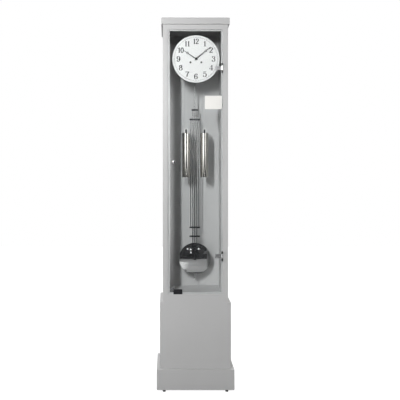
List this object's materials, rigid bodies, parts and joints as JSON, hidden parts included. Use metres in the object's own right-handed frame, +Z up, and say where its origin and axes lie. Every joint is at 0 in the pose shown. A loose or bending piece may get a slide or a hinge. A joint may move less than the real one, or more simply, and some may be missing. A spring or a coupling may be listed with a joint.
{
  "type": "longcase clock",
  "caption": "Free-standing longcase clock with a straight lacquered case, glass door, white dial, cable-hung weights and a gridiron pendulum.",
  "frame": {"origin": "on the floor, under the middle of the clock's overall width and depth", "axes": "+Z up, -Y is the front with the dial and door, +X is the right-hand side seen from the front"},
  "size_m": [0.396, 0.271, 1.911],
  "materials": {
    "grey_lacquer": "satin grey lacquer on board",
    "foot_plastic": "matt",
    "clear_glass": "clear, polished",
    "chrome": "polished",
    "catch_plastic": "matt",
    "zinc_steel": "zinc plated",
    "spring_steel": "polished spring steel",
    "movement_brass": "polished, lacquered",
    "bell_metal": "polished bell metal",
    "dial_enamel": "white, satin",
    "black_hands": "black",
    "polished_nickel": "polished nickel",
    "weight_iron": "as cast",
    "cable_steel": "stranded wire"
  },
  "bodies": {
    "case": {"cornice_board": "grey_lacquer", "top_rail": "grey_lacquer", "side_panel_left": "grey_lacquer", "side_panel_right": "grey_lacquer", "back_panel": "grey_lacquer", "lower_front_panel": "grey_lacquer", "trunk_floor": "grey_lacquer", "case_bottom": "grey_lacquer", "base_cheeks": "grey_lacquer", "plinth_skirting": "grey_lacquer", "glass_stops": "grey_lacquer", "feet": "foot_plastic", "hinge_leaves": "chrome", "magnet_catch": "catch_plastic", "screws": "zinc_steel", "movement_bracket": "zinc_steel", "movement_front_plate": "movement_brass", "movement_back_plate": "movement_brass", "movement_pillars": "movement_brass", "dial_plate": "dial_enamel", "suspension_cock": "movement_brass", "bell": "bell_metal", "left_cable": "cable_steel", "right_cable": "cable_steel"},
    "door": {"door_glass": "clear_glass", "hinge_clamps": "chrome", "door_knob": "chrome", "strike_clip": "chrome"},
    "minute_hand_set": {"minute_hand": "black_hands", "hand_nut": "black_hands", "cannon_pinion": "movement_brass"},
    "hour_hand_set": {"hour_hand": "black_hands", "hour_wheel": "movement_brass"},
    "minute_wheel": {"minute_wheel": "movement_brass"},
    "going_drum": {"going_drum": "movement_brass"},
    "going_great_wheel": {"going_great_wheel": "movement_brass"},
    "centre_wheel": {"centre_wheel": "movement_brass"},
    "third_wheel": {"third_wheel": "movement_brass"},
    "escape_wheel": {"escape_wheel": "movement_brass"},
    "anchor": {"anchor": "spring_steel"},
    "strike_drum": {"strike_drum": "movement_brass"},
    "strike_great_wheel": {"strike_great_wheel": "movement_brass"},
    "pin_wheel": {"pin_wheel": "movement_brass"},
    "strike_hammer": {"strike_hammer": "spring_steel"},
    "left_weight": {"left_weight_shell": "polished_nickel", "left_weight_core": "weight_iron", "left_weight_caps": "polished_nickel", "left_pulley_stirrup": "polished_nickel"},
    "left_pulley": {"left_pulley": "polished_nickel"},
    "right_weight": {"right_weight_shell": "polished_nickel", "right_weight_core": "weight_iron", "right_weight_caps": "polished_nickel", "right_pulley_stirrup": "polished_nickel"},
    "right_pulley": {"right_pulley": "polished_nickel"},
    "pendulum": {"suspension_spring": "spring_steel", "pendulum_hook": "polished_nickel", "pendulum_rods": "polished_nickel", "pendulum_crossbars": "polished_nickel"},
    "bob": {"pendulum_bob": "polished_nickel"},
    "rating_nut": {"rating_nut": "polished_nickel"}
  },
  "joints": [
    {"name": "door_hinge", "type": "hinge", "parent": "case", "child": "door", "pos_m": [0.136, -0.1235, 0.69], "axis": [0, 0, 1], "range_deg": [0, 110]},
    {"name": "minute_hand_turn", "type": "hinge", "parent": "case", "child": "minute_hand_set", "pos_m": [0.005, -0.0695, 1.7105], "axis": [0, 1, 0], "continuous": true},
    {"name": "minute_wheel_turn", "type": "hinge", "parent": "case", "child": "minute_wheel", "pos_m": [0.0134, -0.0275, 1.72505], "axis": [0, 1, 0], "continuous": true},
    {"name": "hour_hand_turn", "type": "hinge", "parent": "case", "child": "hour_hand_set", "pos_m": [0.005, -0.0695, 1.7105], "axis": [0, 1, 0], "continuous": true},
    {"name": "escape_wheel_turn", "type": "hinge", "parent": "case", "child": "escape_wheel", "pos_m": [0.005, 0.0025, 1.733], "axis": [0, 1, 0], "continuous": true},
    {"name": "third_wheel_turn", "type": "hinge", "parent": "case", "child": "third_wheel", "pos_m": [-0.00946, 0.0025, 1.72403], "axis": [0, 1, 0], "continuous": true},
    {"name": "centre_wheel_turn", "type": "hinge", "parent": "case", "child": "centre_wheel", "pos_m": [0.005, 0.0025, 1.7105], "axis": [0, 1, 0], "continuous": true},
    {"name": "going_great_wheel_turn", "type": "hinge", "parent": "case", "child": "going_great_wheel", "pos_m": [-0.0234, 0.0025, 1.693], "axis": [0, 1, 0], "continuous": true},
    {"name": "pin_wheel_turn", "type": "hinge", "parent": "case", "child": "pin_wheel", "pos_m": [0.047, 0.0025, 1.7191], "axis": [0, 1, 0], "continuous": true},
    {"name": "strike_great_wheel_turn", "type": "hinge", "parent": "case", "child": "strike_great_wheel", "pos_m": [0.0334, 0.0025, 1.693], "axis": [0, 1, 0], "continuous": true},
    {"name": "hammer_lift", "type": "hinge", "parent": "case", "child": "strike_hammer", "pos_m": [0.033, 0.0025, 1.7465], "axis": [0, 1, 0], "range_deg": [0, 10], "stiffness_Nm_per_rad": 0.02, "springref_deg": -11.46},
    {"name": "pendulum_swing", "type": "hinge", "parent": "case", "child": "pendulum", "pos_m": [0.005, 0.0525, 1.7528], "axis": [0, 1, 0], "range_deg": [-2.2, 2.2]},
    {"name": "anchor_rock", "type": "hinge", "parent": "case", "child": "anchor", "pos_m": [0.005, 0.0255, 1.7528], "axis": [0, 1, 0], "range_deg": [-2.2, 2.2]},
    {"name": "bob_rating", "type": "slide", "parent": "pendulum", "child": "bob", "axis": [0, 0, 1], "range_m": [-0.0048, 0.0048]},
    {"name": "rating_nut_turn", "type": "hinge", "parent": "bob", "child": "rating_nut", "pos_m": [0.005, 0.0525, 0.5645], "axis": [0, 0, 1], "range_deg": [-2161, 2161]},
    {"name": "left_weight_fall", "type": "slide", "parent": "case", "child": "left_weight", "axis": [0, 0, 1], "range_m": [-0.57, 0.2], "deforming": ["left_cable"]},
    {"name": "going_drum_turn", "type": "hinge", "parent": "case", "child": "going_drum", "pos_m": [-0.0234, 0.0025, 1.693], "axis": [0, 1, 0], "range_deg": [-3112, 1093]},
    {"name": "left_pulley_turn", "type": "hinge", "parent": "left_weight", "child": "left_pulley", "pos_m": [-0.0438, 0.0025, 1.346], "axis": [0, 1, 0], "range_deg": [-2970, 1043]},
    {"name": "right_weight_fall", "type": "slide", "parent": "case", "child": "right_weight", "axis": [0, 0, 1], "range_m": [-0.57, 0.2], "deforming": ["right_cable"]},
    {"name": "strike_drum_turn", "type": "hinge", "parent": "case", "child": "strike_drum", "pos_m": [0.0334, 0.0025, 1.693], "axis": [0, 1, 0], "range_deg": [-1093, 3112]},
    {"name": "right_pulley_turn", "type": "hinge", "parent": "right_weight", "child": "right_pulley", "pos_m": [0.0538, 0.0025, 1.346], "axis": [0, 1, 0], "range_deg": [-1043, 2970]}
  ],
  "couplings": [
    {"joint": "minute_wheel_turn", "follows": "minute_hand_turn", "ratio": -0.33333},
    {"joint": "hour_hand_turn", "follows": "minute_hand_turn", "ratio": 0.083333},
    {"joint": "third_wheel_turn", "follows": "escape_wheel_turn", "ratio": -0.13333},
    {"joint": "centre_wheel_turn", "follows": "escape_wheel_turn", "ratio": 0.016667},
    {"joint": "going_great_wheel_turn", "follows": "escape_wheel_turn", "ratio": -0.0013889},
    {"joint": "strike_great_wheel_turn", "follows": "pin_wheel_turn", "ratio": -0.095238},
    {"joint": "anchor_rock", "follows": "pendulum_swing", "ratio": 1},
    {"joint": "rating_nut_turn", "follows": "bob_rating", "rad_per_m": 7854},
    {"joint": "going_drum_turn", "follows": "left_weight_fall", "rad_per_m": 95.238},
    {"joint": "left_pulley_turn", "follows": "left_weight_fall", "rad_per_m": 90.909},
    {"joint": "strike_drum_turn", "follows": "right_weight_fall", "rad_per_m": -95.238},
    {"joint": "right_pulley_turn", "follows": "right_weight_fall", "rad_per_m": -90.909}
  ]
}
